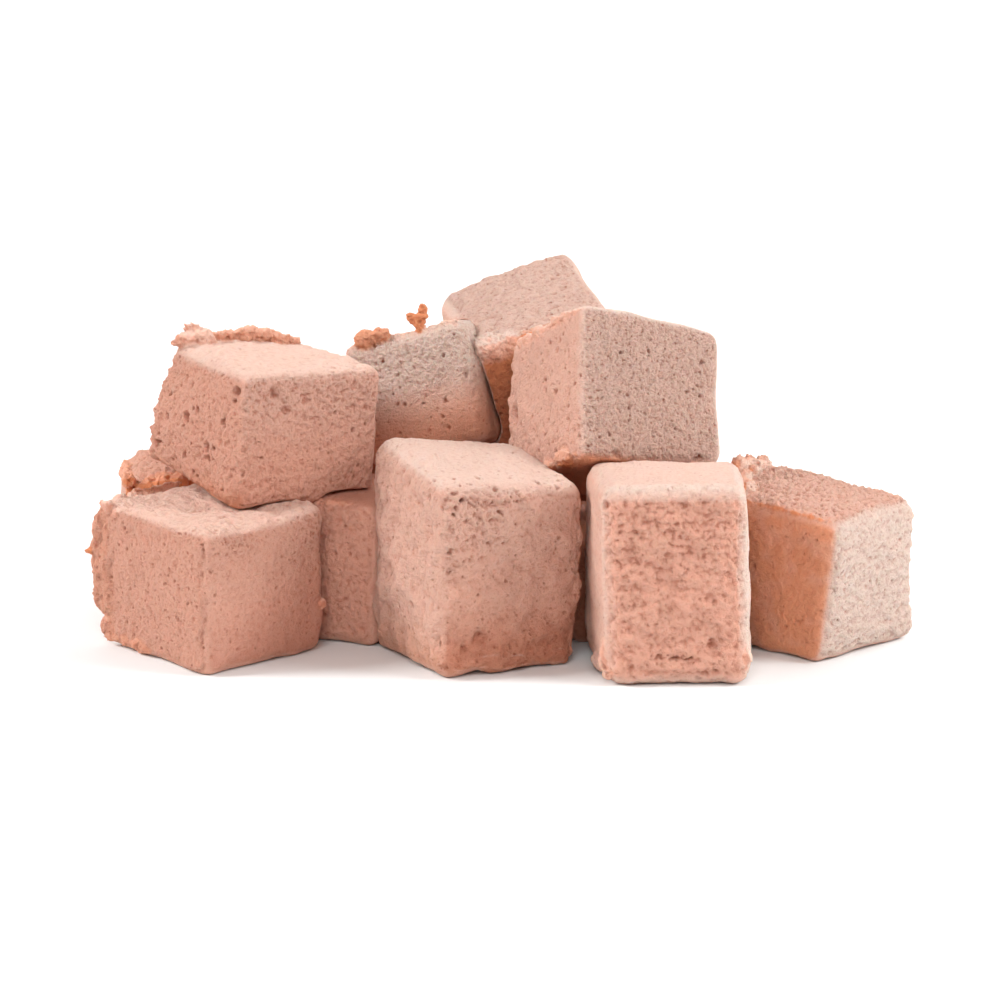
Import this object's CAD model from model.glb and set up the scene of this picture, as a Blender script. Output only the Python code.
# %% [markdown]
# # A heap of cube marshmallows
# Marshmallow is a set foam of sugar and gelatine. It is poured into a slab, dusted, and cut into cubes. The
# cubes here were pulled off one another and tipped out, so each one has three sorts of surface: a pale,
# powdery skin, a rougher cut side full of burst bubbles, and torn lips where it hung on to its neighbour.
#
# The plain solids of the heap are ready and stay where they are. This lesson gives each of them its real
# skin. A sculptor could do that by hand, and a texture could fake it. It is done here with a fine mesh that
# is pushed in and out by functions, because bubbles and tears have to show in the outline too.

# %% The frame
import itertools
import math

import bmesh
import bpy
import numpy as np
from mathutils import Euler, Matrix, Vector
from mathutils.bvhtree import BVHTree


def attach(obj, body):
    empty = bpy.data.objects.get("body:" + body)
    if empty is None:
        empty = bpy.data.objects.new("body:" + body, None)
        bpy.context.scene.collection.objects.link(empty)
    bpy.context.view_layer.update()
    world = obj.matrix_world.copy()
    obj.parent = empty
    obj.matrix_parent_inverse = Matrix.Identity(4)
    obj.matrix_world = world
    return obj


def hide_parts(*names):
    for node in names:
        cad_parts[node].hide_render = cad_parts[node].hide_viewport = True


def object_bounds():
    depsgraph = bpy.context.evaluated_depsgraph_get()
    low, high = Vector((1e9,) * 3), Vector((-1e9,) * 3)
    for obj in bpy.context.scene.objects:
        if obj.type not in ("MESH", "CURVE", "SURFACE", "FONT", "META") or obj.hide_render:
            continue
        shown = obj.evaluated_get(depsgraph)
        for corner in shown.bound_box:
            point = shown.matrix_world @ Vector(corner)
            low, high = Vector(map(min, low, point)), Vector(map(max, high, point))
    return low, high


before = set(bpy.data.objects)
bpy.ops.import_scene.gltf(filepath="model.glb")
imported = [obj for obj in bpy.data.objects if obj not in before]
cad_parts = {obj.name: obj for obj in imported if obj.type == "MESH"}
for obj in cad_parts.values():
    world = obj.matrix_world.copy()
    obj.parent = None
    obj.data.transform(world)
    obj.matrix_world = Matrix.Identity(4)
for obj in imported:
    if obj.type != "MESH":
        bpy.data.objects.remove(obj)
cad_low, cad_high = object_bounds()
print("solids:", len(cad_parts))
print("box in mm:", [round((high - low) * 1000, 1) for low, high in zip(cad_low, cad_high)])

# %% [markdown]
# ## Sizes
# Everything below is thought of in millimetres, because bubbles, crumbs and tears are. The mesh has to be a
# little finer than the smallest bubble that should show in the outline; what is finer still is left to the
# material.

# %% Sizes
MM = 0.001
SOFT_VOXEL = 0.5                          # first, coarse mesh, which rounds the solid's flat facets
FINE_VOXEL = 0.25       # second mesh, which carries the surface
SOFTEN = 8                                # smoothing steps on the coarse mesh
FACES_SHOWN = 90000   # triangles left on a block that shows
FACES_HIDDEN = 25000  # and on one that is buried
EDGE_STARTS, EDGE_FULL = 0.78, 0.97       # how far out on a block its rounded edge begins, as a share
HOLLOW_DEPTH = 0.3                        # a point this far below those round it counts as a full hollow
print("voxels in mm:", SOFT_VOXEL, FINE_VOXEL, "triangles a block:", FACES_SHOWN, FACES_HIDDEN)

# %% [markdown]
# ## The camera
# The camera stands in front of the heap, a little above it, and far off with a long lens. A long lens keeps
# the cubes' upright edges upright. Its place is worked out from the heap's own box.

# %% Camera
CAMERA_RISE = math.radians(13.0)
CAMERA_AWAY = 0.760
CAMERA_LENS = 145.0
AIM_LEFT, AIM_DEEP, AIM_UP = 2.0 * MM, 29.2 * MM, 30.0 * MM  # from the middle of the heap's front
aim = Vector(((cad_low.x + cad_high.x) / 2 - AIM_LEFT, cad_low.y + AIM_DEEP, AIM_UP))


def link_new(name, data):
    """A new object in the scene for a camera, a lamp or a mesh."""
    obj = bpy.data.objects.new(name, data)
    bpy.context.scene.collection.objects.link(obj)
    return obj


camera = link_new("camera", bpy.data.cameras.new("camera"))
camera.data.lens = CAMERA_LENS
camera.data.sensor_width = 36.0
camera.data.clip_start = 0.05
camera.data.clip_end = 50.0
camera.data.dof.use_dof = False
toward = Vector((0.0, -math.cos(CAMERA_RISE), math.sin(CAMERA_RISE)))
camera.location = aim + toward * CAMERA_AWAY
camera.rotation_euler = (-toward).to_track_quat("-Z", "Y").to_euler()
bpy.context.scene.camera = camera
print("camera at", [round(v, 3) for v in camera.location])

# %% [markdown]
# ## The studio
# The cubes lie on a wide white sheet in a dim room, with a lit white wall behind. The strongest light comes
# from the upper left, a weaker one from above and behind, so tops and left sides are palest. Lamps on the
# right and in front only fill in. Sun lamps with a very wide angle are used as soft boxes: they light the
# far end of the sheet as much as the near end, so the sheet stays white to the horizon. Two small boxes
# stand close by on the right and lift the blocks at that end. Light that has bounced between pink cubes is
# pink, so the room's own faint light is given that tint, and the sheet is very slightly cool to stay white
# in it.

# %% The sheet
SHEET_SIZE = 12.0
SHEET_WHITE = (0.83, 0.87, 0.88, 1.0)


def plain_sheet(name, size):
    """A flat square sheet on Z = 0 for the heap to lie on."""
    form = bmesh.new()
    half = size / 2
    corners = [(-half, -half), (half, -half), (half, half), (-half, half)]
    form.faces.new([form.verts.new((x, y, 0.0)) for x, y in corners])
    mesh = bpy.data.meshes.new(name)
    form.to_mesh(mesh)
    form.free()
    return link_new(name, mesh)


floor = plain_sheet("floor", SHEET_SIZE)
paper = bpy.data.materials.new("white_sheet")
paper.use_nodes = True
matt = paper.node_tree.nodes["Principled BSDF"].inputs
matt["Base Color"].default_value = SHEET_WHITE
matt["Roughness"].default_value = 0.9
matt["Specular IOR Level"].default_value = 0.1
floor.data.materials.append(paper)
print("sheet:", SHEET_SIZE, "m a side")

# %% [markdown]
# The lamps are given as a name, a strength, how wide they are and where they stand. The wide ones are suns,
# so only their direction matters; the two close ones are squares with a real place.

# %% Lamps
CLOSE_BOX_SIZE = 0.25
HEAP_MIDDLE = Vector((0.0, 0.0, 0.03))


def soft_box(name, strength, wide, from_where):
    """A very soft lamp, so many degrees wide, that shines from a direction towards the heap."""
    lamp = bpy.data.lights.new(name, "SUN")
    lamp.energy = strength
    lamp.angle = math.radians(wide)
    link_new(name, lamp).rotation_euler = Vector(from_where).to_track_quat("Z", "Y").to_euler()


def close_box(name, watts, place):
    """A square soft box a hand's reach from the heap, so that it lights the near blocks most."""
    lamp = bpy.data.lights.new(name, "AREA")
    lamp.energy = watts
    lamp.size = CLOSE_BOX_SIZE
    holder = link_new(name, lamp)
    holder.location = place
    holder.rotation_euler = (Vector(place) - HEAP_MIDDLE).to_track_quat("Z", "Y").to_euler()


soft_box("left_box", 2.85, 24, (-1.0, -0.08, 0.70))
soft_box("right_box", 0.75, 26, (1.0, -0.25, 0.75))
soft_box("front_box", 1.36, 32, (-0.1, -0.95, 0.68))
soft_box("over_box", 0.88, 50, (0.0, 0.55, 1.0))
close_box("right_near", 1.00, (0.38, -0.10, 0.22))
close_box("right_back", 0.70, (0.36, 0.22, 0.22))
print("lamps:", len(bpy.data.lights))

# %% [markdown]
# The room and the finish are both trees of nodes. These four helpers add a node, a sum, a mixture of
# colours and a share, so that each tree reads like a recipe.

# %% Node helpers
def add_node(tree, kind, **settings):
    """A new shader node, with its settings and socket values."""
    node = tree.nodes.new("ShaderNode" + kind)
    for name, value in settings.items():
        if name in node.inputs:
            node.inputs[name].default_value = value
        else:
            setattr(node, name, value)
    return node


def sum_of(tree, operation, first, second, third=None, clamp=False):
    """A Math node: each value is a number or another node's output."""
    node = add_node(tree, "Math", operation=operation, use_clamp=clamp)
    for number, value in enumerate((first, second, third)):
        if isinstance(value, (int, float)):
            node.inputs[number].default_value = value
        elif value is not None:
            tree.links.new(value, node.inputs[number])
    return node.outputs[0]


def mixed(tree, share, first, second):
    """A colour between two others, by a share."""
    node = add_node(tree, "Mix", data_type="RGBA")
    tree.links.new(share, node.inputs["Factor"])
    for socket, value in (("A", first), ("B", second)):
        if isinstance(value, tuple):
            node.inputs[socket].default_value = value
        else:
            tree.links.new(value, node.inputs[socket])
    return node.outputs["Result"]


def share_between(tree, value, none_at, full_at, way="LINEAR"):
    """A share that is 0 where a value is at none_at and 1 where it is at full_at."""
    node = add_node(tree, "MapRange", interpolation_type=way)
    node.inputs["From Min"].default_value = none_at
    node.inputs["From Max"].default_value = full_at
    tree.links.new(value, node.inputs["Value"])
    return node.outputs["Result"]


print("helpers:", [helper.__name__ for helper in (add_node, sum_of, mixed, share_between)])

# %% [markdown]
# The room is the world's background: faint all round, and bright only in a low patch behind the heap, which
# stands for the lit wall. Two shares make the patch: one fades with height, the other away from the
# straight line back.

# %% The room
ROOM_GLOW = (0.22, 0.15, 0.125, 1.0)
WALL_GLOW = (1.05, 1.05, 1.05, 1.0)
room = bpy.data.worlds.new("dim_room")
room.use_nodes = True
room_tree = room.node_tree
parts = add_node(room_tree, "SeparateXYZ")
room_tree.links.new(add_node(room_tree, "TexCoord").outputs["Generated"], parts.inputs["Vector"])
low_down = share_between(room_tree, parts.outputs["Z"], 0.25, 0.10)
behind = share_between(room_tree, parts.outputs["Y"], 0.80, 0.93)
wall = sum_of(room_tree, "MULTIPLY", low_down, behind)
glow = mixed(room_tree, wall, ROOM_GLOW, WALL_GLOW)
room_tree.links.new(glow, room_tree.nodes["Background"].inputs["Color"])
bpy.context.scene.world = room
bpy.context.scene.view_settings.view_transform = "Standard"
print("room:", room.name, "glow", ROOM_GLOW[:3])

# %% [markdown]
# ## Random swells
# Foam is never quite flat. Smooth random swells are the base of every unevenness below. Blender's own noise
# works on one point at a time, which is slow for a hundred thousand of them, so this is the same idea
# written for whole arrays: random slopes sit at the corners of a grid and are blended in between.

# %% Swells
rng = np.random.default_rng(29)
SLOPES = rng.normal(size=(1024, 3))
SLOPES /= np.linalg.norm(SLOPES, axis=1)[:, None]
CHANCES = rng.random((1024, 4))


def pick(cells, seed):
    """A row number from 0 to 1023 for each cell of a grid, always the same for the same cell and seed."""
    x, y, z = cells.T
    number = x * 73856093 ^ y * 19349663 ^ z * 83492791 ^ (seed + 1) * 2654435761
    number = (number ^ (number >> 13)) * 1274126177
    return (number ^ (number >> 16)) & 1023


def swells(points, size, seed, stretch=(1, 1, 1)):
    """Smooth swells from about -1 to 1, so many millimetres long. A stretch makes them longer one way."""
    grid = points / (size * np.array(stretch))
    cells = np.floor(grid).astype(np.int64)
    part = grid - cells
    fade = part * part * part * (part * (part * 6.0 - 15.0) + 10.0)
    total = np.zeros(len(points))
    for corner in itertools.product((0, 1), repeat=3):
        step = np.array(corner)
        slope = SLOPES[pick(cells + step, seed)]
        share = np.where(step == 1, fade, 1.0 - fade).prod(axis=1)
        total += ((part - step) * slope).sum(axis=1) * share
    return total * 1.5


def layered(points, size, seed, layers=3, stretch=(1, 1, 1)):
    """Swells with finer and finer swells on them."""
    total = np.zeros(len(points))
    for layer in range(layers):
        total += swells(points, size / 2 ** layer, seed + 31 * layer, stretch) / 2 ** layer
    return total


def step_up(value, start, stop):
    """0 below start, 1 above stop, and smooth between."""
    part = np.clip((value - start) / (stop - start), 0.0, 1.0)
    return part * part * (3.0 - 2.0 * part)


sample = swells(rng.random((2000, 3)) * 50.0, 5.0, 1)
print("swells run from", round(sample.min(), 2), "to", round(sample.max(), 2))

# %% [markdown]
# ## Burst bubbles
# Where the foam is cut, bubbles are left open as small round pits. They are scattered so that no two are
# alike and no pattern shows: each cell of a grid holds one bubble, with its own place and size, or none. A
# bubble whose middle isn't quite at the surface leaves a smaller, shallower pit, as in the real foam.

# %% Bubbles
def bubbles(points, spacing, share, wide, seed, stretch=(1, 1, 1)):
    """How deep each point is in a bubble: 0 outside, 1 in the middle of one. Wide is the usual radius."""
    scaled = points / np.array(stretch)
    cells = np.floor(scaled / spacing).astype(np.int64)
    depth = np.zeros(len(points))
    for corner in itertools.product((-1, 0, 1), repeat=3):
        cell = cells + np.array(corner)
        chance = CHANCES[pick(cell, seed)]
        there = CHANCES[pick(cell, seed + 7)][:, 0] < share
        away = np.linalg.norm(scaled - (cell + chance[:, :3]) * spacing, axis=1)
        radius = wide * (0.45 + 1.1 * chance[:, 3] ** 2)
        hollow = np.clip(1.0 - (away / radius) ** 2, 0.0, 1.0) ** 1.3
        depth = np.maximum(depth, hollow * there * (0.5 + 0.5 * chance[:, 3]))
    return depth


sample = bubbles(rng.random((4000, 3)) * 20.0, 2.0, 0.5, 0.6, 1)
print("share of the surface in a bubble:", round(float((sample > 0).mean()), 3))

# %% [markdown]
# ## From a solid to a soft block
# The solid has flat facets and sharp meeting lines. Meshing it again in small cubes and smoothing that
# gives the soft block. Torn lumps are then laid on its edges and a second, finer meshing melts them into
# it, so that a lump grows out of the block as a real tear does. Separate little balls would look stuck on.

# %% Meshing
def through_modifiers(name, mesh, *modifiers):
    """The mesh as it comes out of a row of modifiers, each given as (type, settings)."""
    obj = link_new(name, mesh)
    for kind, settings in modifiers:
        modifier = obj.modifiers.new(kind.lower(), kind)
        for setting, value in settings.items():
            setattr(modifier, setting, value)
    evaluated = obj.evaluated_get(bpy.context.evaluated_depsgraph_get())
    result = bpy.data.meshes.new_from_object(evaluated)
    result.name = name
    bpy.data.objects.remove(obj)
    bpy.data.meshes.remove(mesh)
    return result


def joined(name, meshes):
    """Several meshes as one, with points that coincide merged."""
    form = bmesh.new()
    for mesh in meshes:
        form.from_mesh(mesh)
    bmesh.ops.remove_doubles(form, verts=form.verts, dist=0.002 * MM)
    result = bpy.data.meshes.new(name)
    form.to_mesh(result)
    form.free()
    return result


def lay_points(mesh):
    """A mesh's points, in millimetres."""
    flat = np.empty(len(mesh.vertices) * 3)
    mesh.vertices.foreach_get("co", flat)
    return flat.reshape(-1, 3) / MM


def lay_normals(mesh):
    """The direction that the surface faces at each point."""
    flat = np.empty(len(mesh.vertices) * 3)
    mesh.vertex_normals.foreach_get("vector", flat)
    return flat.reshape(-1, 3)


form = bmesh.new()
bmesh.ops.create_icosphere(form, subdivisions=2, radius=1.0)
BALL_POINTS = np.array([tuple(vertex.co) for vertex in form.verts])
BALL_FACES = [[vertex.index for vertex in face.verts] for face in form.faces]
form.free()
print("one lump:", len(BALL_FACES), "faces")

# %% [markdown]
# ## Creased lumps
# Foam that has been squashed or torn isn't hollow but lumpy: rounded lumps of all sizes lie against one
# another, with sharp creases between them. Each cell of a grid holds the middle of one lump, and every
# point belongs to the nearest middle, which gives the creases for nothing.

# %% Lumps
def domes(points, spacing, seed, stretch=(1, 1, 1)):
    """Rounded lumps, 1 on top of one and falling towards the creases."""
    scaled = points / np.array(stretch)
    cells = np.floor(scaled / spacing).astype(np.int64)
    nearest = np.full(len(points), 9.0)
    for corner in itertools.product((-1, 0, 1), repeat=3):
        cell = cells + np.array(corner)
        middle = cell + 0.1 + 0.8 * CHANCES[pick(cell, seed)][:, :3]
        away = np.linalg.norm(scaled / spacing - middle, axis=1)
        nearest = np.minimum(nearest, away)
    return 1.0 - 1.6 * nearest ** 1.6


sample = domes(rng.random((4000, 3)) * 20.0, 2.0, 1)
print("lumps run from", round(float(sample.min()), 2), "to", round(float(sample.max()), 2))

# %% [markdown]
# ## One marshmallow
# Each block knows which way it is turned and how it leans, so that "the left side" means the same side of
# the cube however the cube lies. Places on a block are given as shares from its middle: -1 and 1 are its
# two ends along each of its own directions.

# %% A block and its places
SIDES = {"left": (0, -1), "right": (0, 1), "front": (1, -1), "back": (1, 1), "bottom": (2, -1),
         "top": (2, 1)}


class PlacedBlock:
    """A block's plain solid, with its own directions, middle and half size."""

    def __init__(self, node, seed, turn, lean=(0.0, 0.0)):
        self.node = node
        self.seed = seed
        self.chance = np.random.default_rng(seed)
        turned = Euler((math.radians(lean[0]), math.radians(-lean[1]), math.radians(turn)), "ZYX")
        self.axes = np.array(turned.to_matrix())
        self.solid = joined(node, [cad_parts[node].data])
        own = lay_points(self.solid) @ self.axes
        self.middle = (own.min(axis=0) + own.max(axis=0)) / 2.0
        self.half = (own.max(axis=0) - own.min(axis=0)) / 2.0
        corners = [tuple(face.vertices) for face in self.solid.polygons]
        self.skin = BVHTree.FromPolygons([Vector(point) for point in own], corners)
        self.lumps = []
        self.lump_balls = []

    def on_skin(self, place, stand=0.0):
        """The point of the skin nearest to a place given in shares, or that far out from it."""
        wanted = self.middle + np.array(place) * self.half
        spot, facing = self.skin.find_nearest(Vector(wanted))[:2]
        return np.array(spot) + np.array(facing) * stand


def steps_of(kind):
    """The names of what a class can do."""
    return [name for name in vars(kind) if not name.startswith("_")]


print("steps:", steps_of(PlacedBlock))

# %% [markdown]
# Torn lips come first. Each is a row of rough little balls along the skin, with crumbs stuck to it. How
# warm and how crumbly a ball is goes with it, to be passed on to the fine mesh.

# %% Torn lumps
class TornBlock(PlacedBlock):
    """A block with torn lumps laid along its skin."""

    def lump(self, middle, radii, warm=1.0, crumbly=1.0):
        """A rough ball, with three radii, at a point of the block's own."""
        dents = swells(BALL_POINTS * 3.0, 2.0, int(self.chance.integers(999)))
        points = BALL_POINTS * (1.0 + 0.3 * dents)[:, None] * np.array(radii) + np.array(middle)
        self.lumps.append(points @ self.axes.T)
        self.lump_balls.append((np.array(middle), float(np.max(radii)), warm, crumbly))

    def tear(self, start, stop, wide, stand=0.0, ragged=0.5, crumbs=2.0, warm=0.6, crumbly=1.0,
             shape=(1, 1, 1)):
        """A torn edge: a ragged rope along the skin, with so many crumbs stuck to each millimetre of it."""
        start, stop = np.array(start), np.array(stop)
        long = np.linalg.norm((stop - start) * self.half)
        steps = int(long / (0.35 * wide)) + 1
        rows = np.linspace(0.0, long, steps + 1)
        flat = np.zeros(len(rows))
        rolls = [swells(np.stack([rows, flat + k, flat], axis=1), 2.2 * wide, self.seed + k) * 2.0
                 for k in (3, 4)]
        spots = []
        for number in range(steps + 1):
            taper = 1.0 - 0.5 * (2.0 * number / steps - 1.0) ** 4
            size = wide * taper * max(0.35, 1.0 + ragged * rolls[0][number])
            along = start + (stop - start) * number / steps
            spot = self.on_skin(along, stand * wide + ragged * wide * 0.6 * rolls[1][number])
            self.lump(spot, size * np.array(shape), warm, crumbly)
            spots.append((spot, size))
        for number in range(int(crumbs * long)):
            spot, size = spots[int(self.chance.integers(len(spots)))]
            out = self.chance.normal(size=3)
            out *= size * np.array(shape) / np.linalg.norm(out)
            crumb = self.chance.uniform(0.25, 0.5, size=3) * min(1.3, wide)
            self.lump(spot + out * self.chance.uniform(0.7, 1.1), crumb, warm, crumbly)

    def sprig(self, start, rise, count, wide):
        """A torn strand of crumbs that stands up from the skin."""
        spot = self.on_skin(start)
        for number in range(count):
            along = number / (count - 1)
            bend = self.chance.uniform(-0.55, 0.55, size=3) * wide * min(1.0, 3.0 * along)
            size = wide * self.chance.uniform(0.6, 1.15)
            self.lump(spot + np.array(rise) * along + bend, size * self.chance.uniform(0.7, 1.2, size=3))

    def lumps_mesh(self):
        """All the lumps as one mesh."""
        faces = []
        for number in range(len(self.lumps)):
            first = number * len(BALL_POINTS)
            faces += [[first + corner for corner in face] for face in BALL_FACES]
        mesh = bpy.data.meshes.new(self.node + "_lumps")
        mesh.from_pydata([tuple(point) for point in np.concatenate(self.lumps) * MM], [], faces)
        return mesh


print("steps:", steps_of(TornBlock))

# %% [markdown]
# ## The fine mesh
# Kneading rounds the solid, melts the lumps into it and meshes the whole finely. From then on the block is
# a list of points, each with a direction to be pushed in, and with its place on the block as a share.
# Powder, grain, warmth and shade are kept at each point too, for the finish to read.

# %% Kneading
class KneadedBlock(TornBlock):
    """A block once it has its fine mesh."""

    def knead(self):
        """Round the solid, melt the lumps into it, and get ready for the steps that push the surface."""
        coarse = through_modifiers(
            self.node, self.solid,
            ("REMESH", {"mode": "VOXEL", "voxel_size": SOFT_VOXEL * MM}),
            ("SMOOTH", {"factor": 0.5, "iterations": SOFTEN}))
        parts = [coarse] + ([self.lumps_mesh()] if self.lumps else [])
        self.mesh = through_modifiers(
            self.node, joined(self.node, parts),
            ("REMESH", {"mode": "VOXEL", "voxel_size": FINE_VOXEL * MM}),
            ("SMOOTH", {"factor": 0.5, "iterations": 2}))
        self.points = lay_points(self.mesh)
        self.ends = np.empty(len(self.mesh.edges) * 2, dtype=np.int32)
        self.mesh.edges.foreach_get("vertices", self.ends)
        self.ends = self.ends.reshape(-1, 2)
        self.normals = lay_normals(self.mesh)
        self.own = self.points @ self.axes
        self.facings = self.normals @ self.axes
        self.share = (self.own - self.middle) / self.half
        self.across, self.inward, self.height = self.share.T
        self.push = np.zeros(len(self.points))
        self.powder = np.zeros(len(self.points))
        self.grain = np.full(len(self.points), 0.5)
        far_out = np.sort(np.abs(self.share), axis=1)
        self.edge = step_up(far_out[:, 1], EDGE_STARTS, EDGE_FULL)
        self.wobble = np.stack([swells(self.own, 0.9, self.seed + 50 + k) for k in range(3)], axis=1) * 0.3
        self.torn = np.zeros(len(self.points))
        self.warm = np.zeros(len(self.points))
        self.shade = np.zeros(len(self.points))
        for middle, reach, warm, crumbly in self.lump_balls:
            close = step_up(1.6 - np.linalg.norm(self.own - middle, axis=1) / reach, 0.0, 0.6)
            self.torn = np.maximum(self.torn, close * crumbly)
            self.warm = np.maximum(self.warm, close * warm)
        self.lumpy(self.torn, 0.14, 0.55)
        self.craggy(self.torn, 0.12, 1.2)

    def facing(self, side, start=0.6, stop=0.9):
        """1 where the surface faces the way that a side does."""
        axis, sign = SIDES[side]
        return step_up(self.facings[:, axis] * sign, start, stop)

    def near(self, place, reach, stretch=(1, 1, 1)):
        """1 at a place on the block, falling to 0 at so many millimetres from it."""
        away = (self.own + self.wobble - (self.middle + np.array(place) * self.half)) / np.array(stretch)
        return np.clip(1.0 - (np.linalg.norm(away, axis=1) / reach) ** 2, 0.0, 1.0)


print("steps:", steps_of(KneadedBlock))

# %% [markdown]
# ## Pushing the surface
# Each step works out how far it pushes every point in or out, and the pushes add up. Where says how much of
# the step each point gets, from 0 to 1. High and deep are in millimetres, and so are size, wide and
# spacing. Adding pushes up keeps the steps apart, so one can be changed without redoing the rest.

# %% Steps
class PushedBlock(KneadedBlock):
    """A block whose surface can be pushed in and out."""

    def uneven(self, high, size):
        """Slow swells all over."""
        self.push += high * layered(self.own, size, self.seed * 5, layers=2)

    def rough(self, where, high, size, layers=3, stretch=(1, 1, 1)):
        """A rough patch: swells on swells."""
        self.push += where * high * layered(self.own, size, self.seed * 5 + 11, layers, stretch)

    def craggy(self, where, high, size, stretch=(1, 1, 1)):
        """Sharp little ridges with hollows between, as where the foam tore instead of being cut."""
        for layer in range(3):
            finer = 1.7 ** layer
            wave = swells(self.own, size / finer, self.seed * 5 + 23 + layer, stretch)
            self.push += where * high * np.maximum(1.0 - 4.0 * np.abs(wave), -0.6) / finer

    def lumpy(self, where, high, wide, stretch=(1, 1, 1)):
        """Rounded lumps with creases between them."""
        busy = where > 0.02
        rise = np.zeros(len(self.points))
        at = (self.own + self.wobble)[busy]
        rise[busy] = domes(at, 1.25 * wide, self.seed * 5 + int(10 * wide), stretch)
        self.push += where * high * (rise - 0.4)

    def pitted(self, where, deep, wide, spacing, share=0.5, stretch=(1, 1, 1)):
        """Burst bubbles."""
        busy = where > 0.02
        depth = np.zeros(len(self.points))
        at = (self.own + self.wobble)[busy]
        depth[busy] = bubbles(at, spacing, share, wide, self.seed * 5 + int(10 * wide), stretch)
        self.push -= where * deep * depth

    def dent(self, place, deep, wide, stretch=(1, 1, 1)):
        """One larger hollow, as from a big bubble or a fingertip."""
        self.push -= deep * self.near(place, wide, stretch) ** 1.4

    def crack(self, start, stop, deep, wide):
        """A thin split between two places."""
        start = self.middle + np.array(start) * self.half
        run = self.middle + np.array(stop) * self.half - start
        from_start = self.own + 2.0 * self.wobble - start
        along = np.clip(from_start @ run / (run @ run), 0.0, 1.0)
        away = np.linalg.norm(from_start - along[:, None] * run, axis=1)
        self.push -= deep * np.clip(1.0 - away / wide, 0.0, 1.0)


print("steps:", steps_of(PushedBlock))

# %% [markdown]
# ## Setting a block down
# Last, the points are moved, the mesh is thinned where it is plain, and the skin takes the place of the
# plain solid. A point that lies lower than the average of those round it is in a hollow, and is marked so
# for the finish.

# %% Setting down
class Marshmallow(PushedBlock):
    """One block of the heap, ready to be finished."""

    def dust(self, **amounts):
        """How much starch lies on each side named."""
        for side, amount in amounts.items():
            self.powder += self.facing(side, 0.3, 0.95) * amount

    def eased(self, values):
        """Each point's value averaged with its neighbours'."""
        ends = self.ends
        total = values.copy()
        total += np.bincount(ends[:, 0], values[ends[:, 1]], len(values))
        total += np.bincount(ends[:, 1], values[ends[:, 0]], len(values))
        count = 1 + np.bincount(ends.ravel(), minlength=len(values))
        return total / count

    def set_down(self, faces, finish):
        """Move the points, thin the mesh where it is plain, and put the piece in place of its solid."""
        moved = (self.points + self.normals * self.push[:, None]) * MM
        moved[:, 2] = np.maximum(moved[:, 2], 0.0)
        self.mesh.vertices.foreach_set("co", moved.ravel())
        even = self.push.copy()
        for step in range(10):
            even = self.eased(even)
        hollow = np.clip((even - self.push) / HOLLOW_DEPTH, 0.0, 1.0) * (1.0 - 0.6 * self.torn) + self.shade
        grain = self.grain * (1.0 - 0.4 * self.torn)
        layers = {"powder": self.powder, "grain": grain, "hollow": hollow, "warm": self.warm}
        for name, values in layers.items():
            layer = self.mesh.attributes.new(name, "FLOAT", "POINT")
            layer.data.foreach_set("value", np.clip(values, 0.0, 1.0).astype(np.float32))
        self.mesh.update()
        before = sum(len(face.vertices) - 2 for face in self.mesh.polygons)
        thinned = through_modifiers(
            self.node + "_skin", self.mesh, ("DECIMATE", {"ratio": min(1.0, faces / before)}))
        thinned.materials.clear()
        thinned.materials.append(finish)
        thinned.polygons.foreach_set("use_smooth", [True] * len(thinned.polygons))
        piece = link_new(self.node + "_skin", thinned)
        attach(piece, "root")
        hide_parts(self.node)
        after = sum(len(face.vertices) - 2 for face in thinned.polygons)
        print(self.node, "triangles:", before, "->", after,
              "pushed in mm:", round(self.push.min(), 2), "to", round(self.push.max(), 2))


print("steps:", steps_of(Marshmallow))

# %% [markdown]
# ## The finish
# Marshmallow is matt and lets a little light in, red light deepest, so thin lips and deep gaps look orange
# while the sides stay pale. The skin is dusted with starch, which is nearly white and hides the pink. One
# material does it all: the dusting, the hollows and the warm torn parts are shares that were worked out on
# the mesh, and fine noise breaks them up. The finest grain, too small for the mesh, is a bump, and its
# deepest points are darker. A painted picture could show the same, but it would have to be stretched round
# every tear.

# %% Colours
CUT_PINK = (0.87, 0.465, 0.345, 1.0)
DUSTED = (0.90, 0.71, 0.61, 1.0)
HOLLOW_RED = (0.50, 0.14, 0.075, 1.0)
WARM_ORANGE = (0.82, 0.32, 0.155, 1.0)
print("cut foam:", CUT_PINK[:3], "dusted:", DUSTED[:3])

# %% [markdown]
# The noise scales are in patches a metre: mottle about 2 mm wide, fine grain half a millimetre, and pricks
# of about a millimetre of which only some are kept.

# %% Marshmallow finish
MOTTLE_SCALE, FINE_SCALE, PRICK_SCALE = 600.0, 2200.0, 900.0
MOTTLE_SHARE = 0.24
PRICKS_KEPT_ABOVE = 0.62
HOLLOW_DARK, PRICK_DARK, SPECK_DARK = 0.55, 0.5, 0.50
PRICK_DEPTH = 0.4
BUMP_HEIGHT = 2.0 * MM
PRICK_WOBBLE = 0.7 * MM


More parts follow.
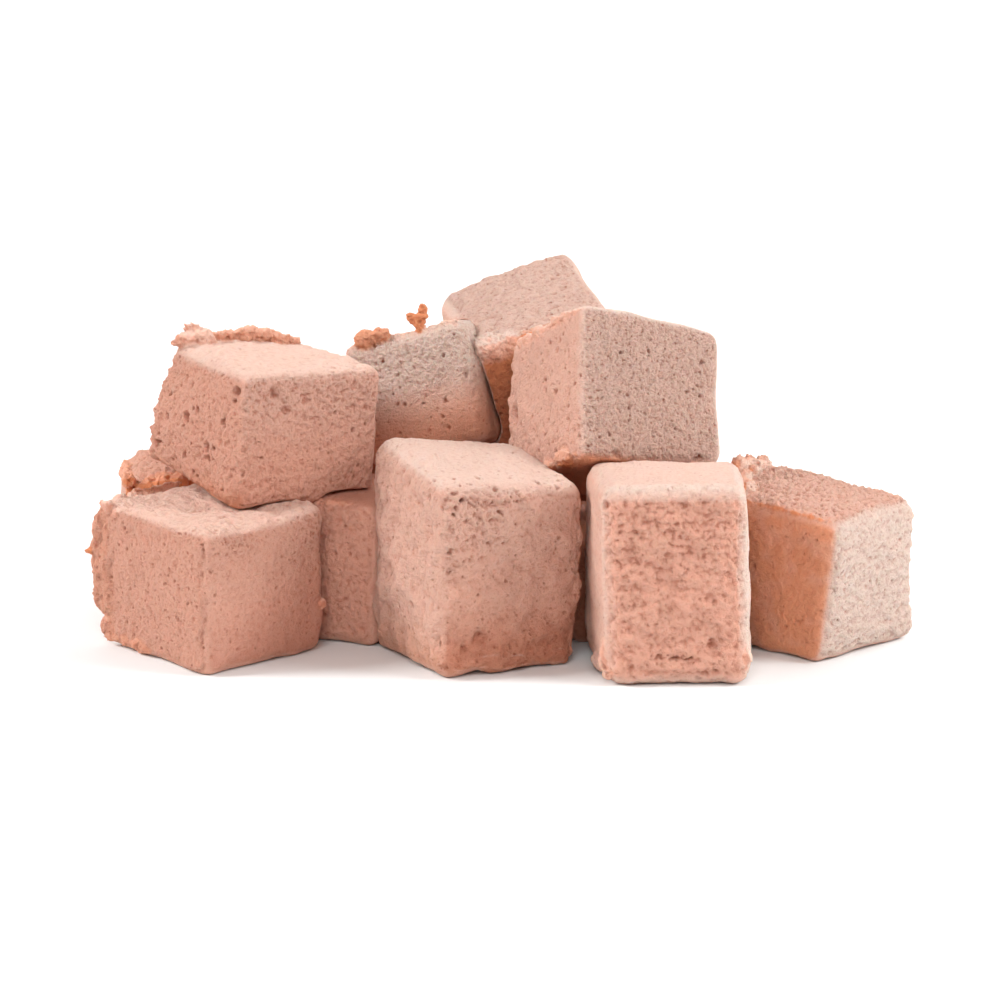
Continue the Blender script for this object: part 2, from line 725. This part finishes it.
def marshmallow_finish():
    """Soft pink foam, dusted where the powder share says so."""
    finish = bpy.data.materials.new("marshmallow_foam")
    finish.use_nodes = True
    tree = finish.node_tree
    shader = tree.nodes["Principled BSDF"]
    shader.inputs["Roughness"].default_value = 0.85
    shader.inputs["Specular IOR Level"].default_value = 0.2
    shader.inputs["Subsurface Weight"].default_value = 0.2
    shader.inputs["Subsurface Radius"].default_value = (1.0, 0.4, 0.25)
    shader.inputs["Subsurface Scale"].default_value = 1.0 * MM
    place = add_node(tree, "TexCoord").outputs["Object"]
    powder, grain, hollow, warm = [
        add_node(tree, "Attribute", attribute_name=name).outputs["Fac"]
        for name in ("powder", "grain", "hollow", "warm")]
    mottle = add_node(tree, "TexNoise", Scale=MOTTLE_SCALE, Detail=4.0)
    fine = add_node(tree, "TexNoise", Scale=FINE_SCALE, Detail=4.0, Roughness=0.7)
    pricks = add_node(tree, "TexVoronoi", Scale=PRICK_SCALE)
    for node in (mottle, fine):
        tree.links.new(place, node.inputs["Vector"])
    wobbly = add_node(tree, "VectorMath", operation="MULTIPLY_ADD")
    wobbly.inputs[1].default_value = (PRICK_WOBBLE, PRICK_WOBBLE, PRICK_WOBBLE)
    tree.links.new(fine.outputs["Color"], wobbly.inputs[0])
    tree.links.new(place, wobbly.inputs[2])
    tree.links.new(wobbly.outputs[0], pricks.inputs["Vector"])
    spread = sum_of(tree, "MULTIPLY_ADD", mottle.outputs["Fac"], MOTTLE_SHARE, powder)
    dusting = sum_of(tree, "SUBTRACT", spread, MOTTLE_SHARE / 2, clamp=True)
    prick = share_between(tree, pricks.outputs["Distance"], 0.34, 0.08, "SMOOTHSTEP")
    few = sum_of(tree, "GREATER_THAN", pricks.outputs["Color"], PRICKS_KEPT_ABOVE)
    pin = sum_of(tree, "MULTIPLY", sum_of(tree, "MULTIPLY", prick, few), grain)
    specks = sum_of(tree, "MULTIPLY", share_between(tree, fine.outputs["Fac"], 0.47, 0.30), grain)
    base = mixed(tree, dusting, CUT_PINK, DUSTED)
    base = mixed(tree, warm, base, WARM_ORANGE)
    dark = sum_of(tree, "MULTIPLY_ADD", hollow, HOLLOW_DARK, sum_of(tree, "MULTIPLY", pin, PRICK_DARK))
    dark = sum_of(tree, "MULTIPLY_ADD", specks, SPECK_DARK, dark, clamp=True)
    tree.links.new(mixed(tree, dark, base, HOLLOW_RED), shader.inputs["Base Color"])
    pebbles = sum_of(tree, "MULTIPLY", fine.outputs["Fac"], grain)
    height = sum_of(tree, "SUBTRACT", pebbles, sum_of(tree, "MULTIPLY", pin, PRICK_DEPTH))
    bump = add_node(tree, "Bump", Strength=1.0, Distance=BUMP_HEIGHT)
    tree.links.new(height, bump.inputs["Height"])
    tree.links.new(bump.outputs["Normal"], shader.inputs["Normal"])
    return finish


foam = marshmallow_finish()
print("finish:", foam.name)

# %% [markdown]
# ## The lower row
# Front left was pulled off a neighbour behind it: a torn fold stands all down its left back edge, and a
# thin flap rises from the back of its top. Its left side was cut, so it is rough and pitted; its front is
# smooth skin with a few open bubbles, wrinkled under its top edge.

# %% Front left
cube = Marshmallow("marshmallow_front_left", 1, turn=43)
cube.tear((-1, 1, -0.85), (-1, 1, 0.9), wide=1.5, stand=-0.15, ragged=0.35, crumbs=0.4, warm=0.2,
          crumbly=0.45, shape=(1, 0.9, 1.5))
cube.tear((-1, 0.6, 0.97), (-0.7, 1, 0.98), wide=1.0, stand=-0.4, ragged=0.7, crumbs=6.0, warm=0.0)
cube.tear((-0.75, 1, 1), (-0.1, 1, 1), wide=0.8, stand=-0.2, ragged=0.6, crumbs=6.0, warm=0.05)
cube.tear((-0.4, 1, 1), (0.45, 1, 1), wide=0.9, stand=0.9, ragged=0.2, crumbs=0.2, warm=0.35, crumbly=0.2,
          shape=(1.2, 0.6, 1.2))
cube.tear((-1, 0.95, -0.95), (-1, 0.1, -0.97), wide=1.0, stand=-0.5, ragged=0.8, crumbs=3.0, warm=0.3)
cube.sprig((-1.05, 1, 0.3), (-1.4, 0.4, 0.4), count=5, wide=0.6)
cube.lump(cube.on_skin((0.95, -1, -0.35)), (0.9, 0.7, 0.8), 0.3)
cube.knead()
cube.uneven(high=0.5, size=9.0)
left, front, top = cube.facing("left"), cube.facing("front"), cube.facing("top")
cube.rough(left, high=0.4, size=2.4, stretch=(1, 1, 1.5))
cube.lumpy(left, high=0.14, wide=0.6)
cube.pitted(left, deep=0.6, wide=0.32, spacing=1.15)
cube.pitted(left * cube.near((-1, -0.5, 0), reach=12.0), deep=0.9, wide=0.5, spacing=1.9, share=0.6)
cube.rough(cube.edge * left, high=0.5, size=2.5)
cube.pitted(front, deep=0.55, wide=0.26, spacing=1.3, share=0.4)
cube.pitted(front * cube.near((-0.5, -1, -0.1), reach=15.0), deep=0.9, wide=0.45, spacing=2.5)
cube.rough(front, high=0.2, size=1.3)
cube.rough(front, high=0.35, size=5.0, layers=1)
cube.craggy(front * cube.near((-0.4, -1, 0.9), reach=7.0), high=0.28, size=1.5)
cube.craggy(front * cube.near((0.8, -1, 0.8), reach=6.0), high=0.3, size=1.6)
cube.rough(top, high=0.4, size=2.2)
cube.pitted(top, deep=0.5, wide=0.35, spacing=1.8)
cube.lumpy(top * cube.near((-0.7, 0.8, 1), reach=12.0), high=0.35, wide=0.7)
cube.craggy(top * cube.near((-0.8, -0.9, 0.9), reach=9.0), high=0.2, size=1.2)
cube.dent((-0.18, -0.08, 0.93), deep=1.0, wide=1.6, stretch=(1.5, 1, 1))
cube.dent((-0.23, -0.51, 0.92), deep=0.5, wide=1.0, stretch=(1.8, 1, 1))
cube.dent((1, -1, 0.1), deep=2.2, wide=2.4, stretch=(1, 1, 0.8))
cube.grain = 0.42 + 0.33 * left + 0.2 * front * step_up(cube.height, -0.2, 0.6)
cube.shade += 0.18 * left
cube.shade += front * (0.34 + 0.65 * step_up(0.6 * cube.across - cube.height, -0.6, 1.1))
cube.dust(top=0.55, right=0.2, back=0.2, front=0.15)
cube.set_down(FACES_SHOWN, foam)

# %% [markdown]
# Middle left stands back in the shade of its neighbours. It is plain cut foam with a few pits.

# %% Middle left
cube = Marshmallow("marshmallow_middle_left", 2, turn=-28)
cube.tear((-1, -1, 0.95), (0.6, -1, 0.95), wide=0.6, stand=-0.3, warm=0.2)
cube.knead()
cube.uneven(high=0.4, size=9.0)
front = cube.facing("front")
cube.pitted(front, deep=0.7, wide=0.4, spacing=1.8)
cube.rough(front, high=0.4, size=1.5)
cube.pitted(cube.facing("left") + cube.facing("right"), deep=0.5, wide=0.45, spacing=2.0)
cube.grain[:] = 0.45
cube.dust(back=0.3)
cube.shade += 0.6 * cube.facing("top") + 0.22 * front
cube.set_down(FACES_SHOWN * 0.6, foam)

# %% [markdown]
# Only a corner of back left shows, a torn and lumpy one. Light comes through its thin lip, so it looks
# orange.

# %% Back left
cube = Marshmallow("marshmallow_back_left", 3, turn=6)
cube.tear((-1, -1, 0.9), (0.6, -1, 0.95), wide=1.5, stand=-0.1, ragged=0.8, crumbs=3.0, warm=0.5)
cube.tear((-1, -0.6, 0.95), (-1, 0.8, 0.9), wide=1.0, stand=-0.2, crumbs=3.0, warm=0.3)
cube.knead()
cube.uneven(high=0.6, size=8.0)
top, front = cube.facing("top"), cube.facing("front")
cube.lumpy(top + front, high=0.45, wide=1.3)
cube.rough(top + front, high=0.6, size=2.4)
cube.pitted(cube.facing("left") + front, deep=0.6, wide=0.4, spacing=1.8, share=0.45)
cube.dent((-0.1, -1, 0.5), deep=1.6, wide=4.0, stretch=(2, 1, 0.8))
cube.grain[:] = 0.55
cube.dust(top=0.15, left=0.1)
cube.warm += 1.0 * front + 0.1 * top
cube.set_down(FACES_SHOWN * 0.5, foam)

# %% [markdown]
# The tall block in the middle has soft upright lumps on its left side. Where it was cut apart, the upper
# part of its front is flaked and full of open bubbles; lower down it is smoother, and its bottom edge is
# rolled under in large soft lumps.

# %% Front centre
cube = Marshmallow("marshmallow_front_centre", 4, turn=26)
cube.tear((-0.85, -1, -0.92), (0.8, -1, -0.92), wide=1.9, stand=-0.75, ragged=0.3, crumbs=0.0, warm=0.1,
          crumbly=0.05, shape=(1.8, 1, 1))
cube.tear((1, -1, 0.6), (1, -1, -0.7), wide=0.8, stand=-0.7, ragged=0.6, crumbs=0.3, warm=0.1, crumbly=0.4,
          shape=(1, 1, 1.6))
cube.knead()
cube.uneven(high=0.6, size=9.0)
left, front, top = cube.facing("left"), cube.facing("front"), cube.facing("top")
height = cube.height
cube.rough(left, high=1.0, size=3.4, layers=2, stretch=(1, 1, 1.8))
cube.lumpy(left, high=0.3, wide=1.4, stretch=(1, 1, 1.7))
cube.rough(left, high=0.2, size=1.0, layers=2)
cube.pitted(left, deep=0.8, wide=0.42, spacing=2.0, share=0.45, stretch=(1, 1, 1.5))
flaked = front * step_up(height - 0.35 * cube.across + 0.5 * swells(cube.own, 6.0, 77), 0.1, 0.8)
cube.craggy(flaked, high=0.42, size=2.6, stretch=(1.3, 1, 1))
cube.pitted(flaked, deep=1.4, wide=0.5, spacing=1.6, share=0.6)
cube.rough(front, high=0.9, size=4.5, layers=1)
cube.rough(front, high=0.32, size=1.5)
cube.pitted(front, deep=0.7, wide=0.36, spacing=1.7)
low = front * step_up(-height, 0.3, 0.8)
cube.craggy(low, high=0.1, size=1.3, stretch=(1.8, 1, 1))
cube.rough(low, high=0.6, size=4.0, layers=2)
rim = top * step_up(-cube.inward, 0.3, 0.85)
cube.pitted(rim, deep=1.3, wide=0.5, spacing=1.6, share=0.65)
cube.rough(cube.edge * step_up(height, 0.8, 0.95) * step_up(-cube.inward, 0.5, 0.9), high=1.7, size=2.2)
cube.craggy(cube.edge * step_up(height, 0.75, 0.9) * front, high=0.3, size=1.5)
cube.rough(top, high=0.16, size=1.2)
cube.dent((-0.41, -0.97, -0.65), deep=1.1, wide=2.0)
cube.dent((-0.62, -0.97, -0.72), deep=0.8, wide=1.2)
cube.grain = 0.5 + 0.15 * front + 0.15 * left
cube.shade += 0.62 * low + 0.25 * front * step_up(cube.across, 0.0, 0.8) + 0.8 * cube.facing("right")
cube.warm += 0.25 * low + 0.35 * left * step_up(-height, 0.4, 0.95) + 0.5 * cube.facing("right")
cube.dust(top=0.75, left=0.3, back=0.3)
cube.powder += 0.3 * front * step_up(height, -0.7, 0.7)
cube.set_down(FACES_SHOWN * 1.2, foam)

# %% [markdown]
# The block nearest to the camera has been squashed a little. The foam of its front has wrinkled into flat
# lumps that run across it, inside a frame of smooth pale edges.

# %% Front right
cube = Marshmallow("marshmallow_front_right", 5, turn=2)
cube.tear((-1, -0.8, -0.55), (-1, -0.8, -0.9), wide=1.3, stand=-0.4, crumbs=1.0, warm=0.15, crumbly=0.6)
cube.tear((0.97, -0.95, -0.6), (1, -0.95, -0.85), wide=0.7, stand=-0.3, ragged=0.6, warm=0.1)
cube.knead()
cube.uneven(high=0.4, size=9.0)
top = cube.facing("top")
height = cube.height
inside = step_up(0.97 - np.abs(cube.across), 0.0, 0.12) * step_up(height + 0.97, 0.0, 0.12)
panel = cube.facing("front", 0.3, 0.75) * inside * step_up(0.88 - height, 0.0, 0.08)
upper = panel * (0.4 + 0.65 * step_up(height, -0.3, 0.5))
cube.push -= 0.35 * panel
cube.lumpy(upper, high=0.5, wide=1.25, stretch=(1.4, 1, 1))
cube.lumpy(upper, high=0.25, wide=0.7, stretch=(1.1, 1, 1))
cube.rough(panel, high=0.9, size=3.2, stretch=(1.4, 1, 1))
cube.rough(panel, high=0.25, size=1.0, layers=2)
cube.pitted(upper, deep=0.65, wide=0.42, spacing=1.9, share=0.45, stretch=(1.3, 1, 1))
cube.rough(cube.edge, high=0.6, size=3.0)
plain = np.clip(1.0 - panel, 0.0, 1.0)
cube.rough(plain, high=0.14, size=1.2)
cube.pitted(top, deep=0.5, wide=0.3, spacing=1.8, share=0.35)
cube.crack((-0.29, -1, -0.70), (0.21, -1, -0.72), deep=1.2, wide=0.55)
cube.dent((0.45, -1, -0.58), deep=1.1, wide=1.4)
cube.dent((0.41, -1, -0.87), deep=1.1, wide=1.5, stretch=(2, 1, 1))
cube.dent((-0.52, -1, -0.93), deep=0.8, wide=1.2, stretch=(2.2, 1, 1))
cube.grain[:] = 0.5
cube.shade += 0.08 * top
cube.dust(top=0.7, left=0.3, right=0.8, back=0.3)
cube.powder += 0.5 * np.clip(1.0 - panel, 0.0, 1.0) * cube.facing("front", 0.2, 0.6)
cube.set_down(FACES_SHOWN * 1.1, foam)

# %% [markdown]
# Right end has a torn, crumbly top and a dusted, pitted side. Its other side faces into the heap and stays
# orange.

# %% Right end
cube = Marshmallow("marshmallow_right_end", 6, turn=50)
cube.tear((-0.5, 0.95, 0.95), (0.8, 1, 0.95), wide=1.1, ragged=0.8, crumbs=6.0, warm=0.15)
cube.tear((-0.12, 0.9, 0.95), (0.12, 0.9, 0.95), wide=1.3, stand=0.3, crumbs=9.0, warm=0.2)
cube.tear((-1, 0.9, 0.95), (-1, -0.9, 0.95), wide=0.4, stand=-0.5, warm=0.2)
cube.tear((-0.9, 0.5, 0.95), (-0.2, 0.75, 0.95), wide=1.1, stand=-0.4, ragged=0.9, crumbs=5.0, warm=0.2)
cube.knead()
cube.uneven(high=0.5, size=8.0)
left, front, top = cube.facing("left"), cube.facing("front"), cube.facing("top")
cube.lumpy(top, high=0.28, wide=0.8)
cube.craggy(top, high=0.3, size=1.8)
cube.pitted(top, deep=0.7, wide=0.5, spacing=1.8, share=0.6)
cube.rough(front, high=0.5, size=1.5, stretch=(1.4, 1, 1))
cube.pitted(front, deep=0.7, wide=0.38, spacing=1.7)
cube.rough(left, high=0.28, size=1.6)
cube.pitted(left, deep=0.7, wide=0.36, spacing=2.0, share=0.45)
cube.dent((-1, -0.62, 0.08), deep=0.9, wide=0.9)
cube.dent((-1, 0.24, 0), deep=1.0, wide=1.3, stretch=(1, 1, 1.5))
cube.dent((-1, -0.48, -0.54), deep=0.7, wide=1.0, stretch=(1, 1.6, 1))
cube.dent((1, -1, -0.52), deep=3.2, wide=2.8, stretch=(1, 1, 0.75))
cube.grain = 0.5 + 0.2 * front + 0.2 * top
cube.dust(top=0.3, front=1.0, right=1.0, back=0.3)
cube.powder += 0.6 * step_up(cube.across, 0.8, 1.0)
cube.warm += 0.75 * left * (1.0 - 0.4 * step_up(layered(cube.own, 5.0, 64, layers=2), -0.2, 0.6))
cube.set_down(FACES_SHOWN, foam)

# %% [markdown]
# Three blocks are buried in the heap and hold up the upper row. They get the same treatment, on a coarser
# mesh. No light falls on them to bleach them, so they stay a bare, deep pink.

# %% The three under the pile
for node, seed, turn in (("marshmallow_under_centre", 7, -4), ("marshmallow_under_right", 8, 6),
                         ("marshmallow_under_middle", 13, 8)):
    cube = Marshmallow(node, seed, turn=turn)
    cube.tear((-0.9, 1, 0.95), (0.7, 1, 0.95), wide=0.9, stand=-0.2, warm=0.4)
    cube.knead()
    cube.uneven(high=0.4, size=9.0)
    back, sides = cube.facing("back"), cube.facing("left") + cube.facing("right")
    cube.rough(back + sides, high=0.3, size=1.8)
    cube.pitted(back + sides, deep=0.6, wide=0.45, spacing=1.9)
    cube.grain[:] = 0.6
    cube.dust(back=0.1)
    inside = cube.facing("front") + cube.facing("top") * step_up(-cube.inward, -0.3, 0.5)
    cube.warm += 0.6 * inside
    cube.shade += 0.8 * inside
    cube.set_down(FACES_HIDDEN, foam)

# %% [markdown]
# ## The upper row
# Upper left is the most torn of all. Its left side is full of big burst bubbles, and a rope of crumbs
# stands along the back of its smooth, dusted top, with a broad torn peak at the left end.

# %% Upper left
cube = Marshmallow("marshmallow_upper_left", 9, turn=33, lean=(0.7, -3.5))
cube.tear((-0.5, 0.85, 0.98), (0.75, 0.6, 1), wide=1.2, stand=0.5, ragged=0.22, crumbs=7.0, warm=0.45,
          shape=(1, 0.8, 1))
cube.tear((-0.64, 0.85, 1), (-0.38, 0.75, 1), wide=1.9, stand=-0.1, crumbs=9.0, warm=0.05)
cube.tear((-0.6, 0.85, 1), (-0.45, 0.8, 1), wide=1.3, stand=1.4, ragged=0.4, crumbs=14.0, warm=0.15)
cube.tear((-0.8, 0.7, 1), (-0.4, 0.75, 1), wide=1.2, stand=-0.2, ragged=0.8, crumbs=6.0, warm=0.2)
cube.knead()
cube.uneven(high=0.5, size=9.0)
left, front, top = cube.facing("left"), cube.facing("front"), cube.facing("top")
cube.craggy(left, high=0.1, size=2.4, stretch=(1, 1, 1.3))
cube.lumpy(left, high=0.2, wide=0.8)
cube.rough(left, high=0.3, size=1.2, layers=2)
cube.rough(cube.facing("left", 0.2, 0.6) * step_up(cube.inward, 0.6, 0.95), high=1.0, size=1.8)
cube.pitted(left, deep=1.9, wide=0.72, spacing=2.6, share=0.55, stretch=(1, 1, 1.35))
cube.pitted(left, deep=1.0, wide=0.42, spacing=1.5, share=0.55)
cube.rough(left, high=0.6, size=4.0, layers=1)
cube.rough(front, high=0.4, size=1.4)
cube.craggy(front * step_up(cube.height, -0.4, 0.6), high=0.2, size=1.6, stretch=(1.6, 1, 1))
cube.pitted(front, deep=0.75, wide=0.36, spacing=1.5)
cube.rough(top, high=0.45, size=4.0)
cube.rough(top, high=0.16, size=1.2, layers=2)
cube.pitted(top, deep=0.4, wide=0.32, spacing=1.8, share=0.4)
cube.crack((-0.75, 0.5, 1), (-0.2, 0, 1), deep=0.5, wide=0.8)
cube.dent((-0.46, -0.98, 0.66), deep=1.1, wide=1.6)
cube.dent((-0.05, -0.98, 0.56), deep=1.0, wide=1.5)
cube.dent((-0.30, -0.99, 0.41), deep=0.9, wide=1.2)
cube.dent((0.12, -0.98, 0.62), deep=0.7, wide=0.9)
cube.grain = 0.5 + 0.25 * left + 0.15 * front - 0.1 * top
under_side = step_up(-cube.height, 0.55, 0.95)
cube.warm += 0.45 * under_side * cube.facing("left", 0.1, 0.6)
cube.shade += 0.22 * front + 0.12 * left + 0.06 * top
cube.dust(top=0.7, right=0.2, back=0.2)
cube.powder += 0.35 * front * step_up(cube.height, -0.6, 0.9)
cube.set_down(FACES_SHOWN * 1.2, foam)

# %% [markdown]
# Upper centre leans over. Its face is sandy with starch, more so higher up, and a strand of crumbs stands
# on it.

# %% Upper centre
cube = Marshmallow("marshmallow_upper_centre", 10, turn=-10, lean=(-14.0, 14.0))
cube.tear((-0.7, -0.9, 1), (-0.25, -0.9, 1), wide=1.3, stand=0.4, ragged=0.6, warm=0.8)
cube.tear((-0.98, -0.9, 0.85), (0.9, -0.9, 1), wide=0.6, stand=-0.3, warm=0.2)
cube.sprig((0.26, -0.9, 0.95), (-0.1, 0, 3), count=8, wide=0.75)
cube.sprig((0.26, -0.9, 0.95), (-1.5, 0.2, 3.4), count=11, wide=0.75)
cube.sprig((0.26, -0.9, 0.95), (1.3, 0, 4.5), count=13, wide=0.75)
cube.knead()
cube.uneven(high=0.4, size=9.0)
front, right = cube.facing("front"), cube.facing("right", 0.3, 0.7)
height = cube.height
front = np.clip(front + right, 0.0, 1.0)
sandy = front * (0.35 + 0.65 * step_up(height, -0.4, 0.5))
cube.lumpy(sandy, high=0.14, wide=0.45)
cube.rough(sandy, high=0.26, size=1.0)
cube.pitted(front, deep=0.8, wide=0.42, spacing=1.8, share=0.55)
cube.pitted(cube.facing("left"), deep=0.4, wide=0.35, spacing=2.5, share=0.4)
cube.grain = 0.5 + 0.25 * sandy
cube.dust(top=0.7, back=0.3, left=0.3)
cube.powder += 0.95 * front * step_up(height, -0.8, 0.4)
cube.warm += 0.4 * front * step_up(-height, -0.2, 0.7)
cube.push += 0.15 * right
cube.set_down(FACES_SHOWN * 0.8, foam)

# %% [markdown]
# Upper right is tipped on to its corner. One side has soft lumps, and the other is as rough as sandpaper.

# %% Upper right
cube = Marshmallow("marshmallow_upper_right", 11, turn=26, lean=(-27.0, 0.0))
cube.tear((-1, 1, 0.9), (-1, 0.95, -0.8), wide=0.7, stand=-0.5, ragged=0.3, crumbs=3.0, warm=0.15,
          crumbly=0.4)
cube.tear((-1, 0.9, 0.98), (-1, -0.9, 0.98), wide=0.7, stand=-0.35, ragged=0.8, crumbs=4.0, warm=0.15)
cube.tear((-1, 0.4, -0.95), (-1, -0.8, -0.95), wide=0.9, stand=-0.4, ragged=0.8, warm=0.3)
cube.knead()
cube.uneven(high=0.4, size=9.0)
left, front = cube.facing("left"), cube.facing("front")
height = cube.height
cube.rough(left, high=0.45, size=3.0, stretch=(1, 1, 1.5))
cube.lumpy(left * step_up(-height, -0.3, 0.8), high=0.45, wide=1.5)
cube.pitted(left, deep=0.9, wide=0.6, spacing=2.3)
cube.pitted(left, deep=0.6, wide=0.35, spacing=1.4)
cube.dent((-1, 0.72, -0.05), deep=2.2, wide=2.4, stretch=(1, 1, 1.3))
cube.lumpy(front, high=0.3, wide=0.42)
cube.rough(front, high=0.35, size=1.4)
cube.pitted(front, deep=0.9, wide=0.38, spacing=2.1, share=0.45)
cube.pitted(front, deep=0.5, wide=0.25, spacing=1.1, share=0.4)
cube.dent((0.64, -0.95, -0.85), deep=1.0, wide=1.6)
cube.dent((-0.45, -0.95, -0.9), deep=0.8, wide=1.4)
cube.grain = 0.5 + 0.5 * front + 0.15 * left
cube.warm += 0.7 * step_up(-height, 0.86, 0.98) * (1.0 - left)
cube.dust(top=0.85, front=0.6, left=0.25, right=0.8, back=0.3)
cube.set_down(FACES_SHOWN * 1.1, foam)

# %% [markdown]
# The top block is dusted and wrinkled above. Below, its front is bare and in the shade, with a pale torn
# corner.

# %% Top of the pile
cube = Marshmallow("marshmallow_top", 12, turn=16, lean=(12.0, 9.0))
cube.tear((-0.95, -0.95, 0.92), (-0.35, -1, 0.88), wide=1.9, stand=-0.5, ragged=0.6, crumbs=5.0, warm=0.0)
cube.tear((-0.35, -1, 0.95), (0.6, -1, 0.95), wide=0.7, stand=-0.3, crumbs=3.0, warm=0.45)
cube.knead()
cube.uneven(high=0.4, size=9.0)
front, top = cube.facing("front"), cube.facing("top")
cube.rough(top, high=0.4, size=1.6, stretch=(1.4, 1, 1))
cube.craggy(top * step_up(cube.across, -0.5, 0.6), high=0.1, size=1.8)
cube.pitted(top, deep=0.6, wide=0.36, spacing=1.9, share=0.45)
cube.rough(front, high=0.35, size=2.0)
cube.pitted(front, deep=0.7, wide=0.5, spacing=2.2, share=0.4)
cube.pitted(cube.facing("back") + cube.facing("left") + cube.facing("right"), deep=0.5, wide=0.4,
            spacing=2.4, share=0.4)
cube.grain = 0.5 + 0.3 * top
cube.dust(top=0.75, left=0.4, right=0.4, back=0.3)
cube.shade += 0.2 * top
chunk = cube.near((-0.75, -1, 0.78), reach=6.0, stretch=(1.2, 1, 0.8)) ** 0.5
cube.lumpy(chunk, high=0.3, wide=0.7)
cube.warm += front
cube.warm *= 1.0 - 0.95 * chunk
cube.powder += 0.35 * chunk
cube.shade += 0.9 * front * step_up(-cube.height, -0.6, 0.4)
cube.set_down(FACES_SHOWN * 0.9, foam)

# %% [markdown]
# ## Last measurements
# The finished skins must fill the same box as the plain solids.
